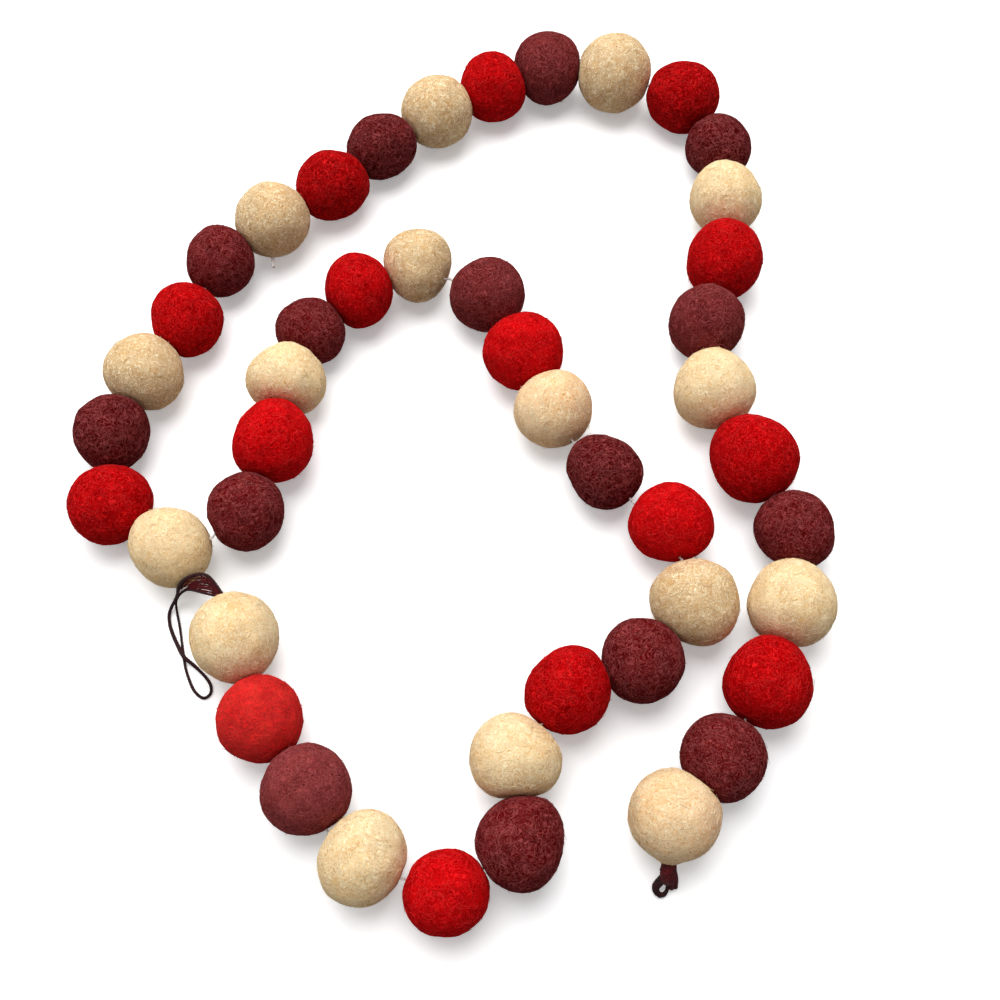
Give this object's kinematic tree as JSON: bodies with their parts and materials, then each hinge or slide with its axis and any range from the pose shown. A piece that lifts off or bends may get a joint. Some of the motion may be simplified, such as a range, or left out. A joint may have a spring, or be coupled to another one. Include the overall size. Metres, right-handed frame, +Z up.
{
  "type": "felt ball garland",
  "caption": "Garland of wool felt balls in cream, maroon and red on a thread, lying in loose curves, with a floss hanging loop at its head and a knot at its tail.",
  "frame": {"origin": "middle of the garland's outline from above, on the surface it lies on", "axes": "+Z up from the surface; +Y along the longer side of the outline, away from the end with the tail knot and the head loop; +X to the right of it"},
  "size_m": [0.2284, 0.3013, 0.0259],
  "materials": {
    "felt_cream": "matt wool felt, natural cream with faint pink stains from the red balls",
    "felt_maroon": "matt wool felt, heathered maroon with lighter fibres",
    "felt_red": "matt wool felt, bright to deep red",
    "white_thread": "twisted white cotton thread",
    "maroon_floss": "soft lustrous maroon embroidery floss"
  },
  "bodies": {
    "root": {"ball_01": "felt_cream", "ball_02": "felt_maroon", "ball_03": "felt_red", "ball_04": "felt_cream", "ball_05": "felt_maroon", "ball_06": "felt_red", "ball_07": "felt_cream", "ball_08": "felt_maroon", "ball_09": "felt_red", "ball_10": "felt_cream", "ball_11": "felt_maroon", "ball_12": "felt_red", "ball_13": "felt_cream", "ball_14": "felt_maroon", "ball_15": "felt_red", "ball_16": "felt_cream", "ball_17": "felt_maroon", "ball_18": "felt_red", "ball_19": "felt_cream", "ball_20": "felt_maroon", "ball_21": "felt_red", "ball_22": "felt_cream", "ball_23": "felt_maroon", "ball_24": "felt_red", "ball_25": "felt_cream", "ball_26": "felt_maroon", "ball_27": "felt_red", "ball_28": "felt_cream", "ball_29": "felt_maroon", "ball_30": "felt_red", "ball_31": "felt_cream", "ball_32": "felt_maroon", "ball_33": "felt_red", "ball_34": "felt_cream", "ball_35": "felt_maroon", "ball_36": "felt_red", "ball_37": "felt_cream", "ball_38": "felt_maroon", "ball_39": "felt_red", "ball_40": "felt_cream", "ball_41": "felt_maroon", "ball_42": "felt_red", "ball_43": "felt_cream", "ball_44": "felt_maroon", "ball_45": "felt_red", "ball_46": "felt_cream", "string": "white_thread", "thread_end": "white_thread", "head_loop": "maroon_floss", "tail_knot": "maroon_floss", "tail_loop": "maroon_floss", "tail_end_1": "maroon_floss", "tail_end_2": "maroon_floss"}
  },
  "joints": []
}
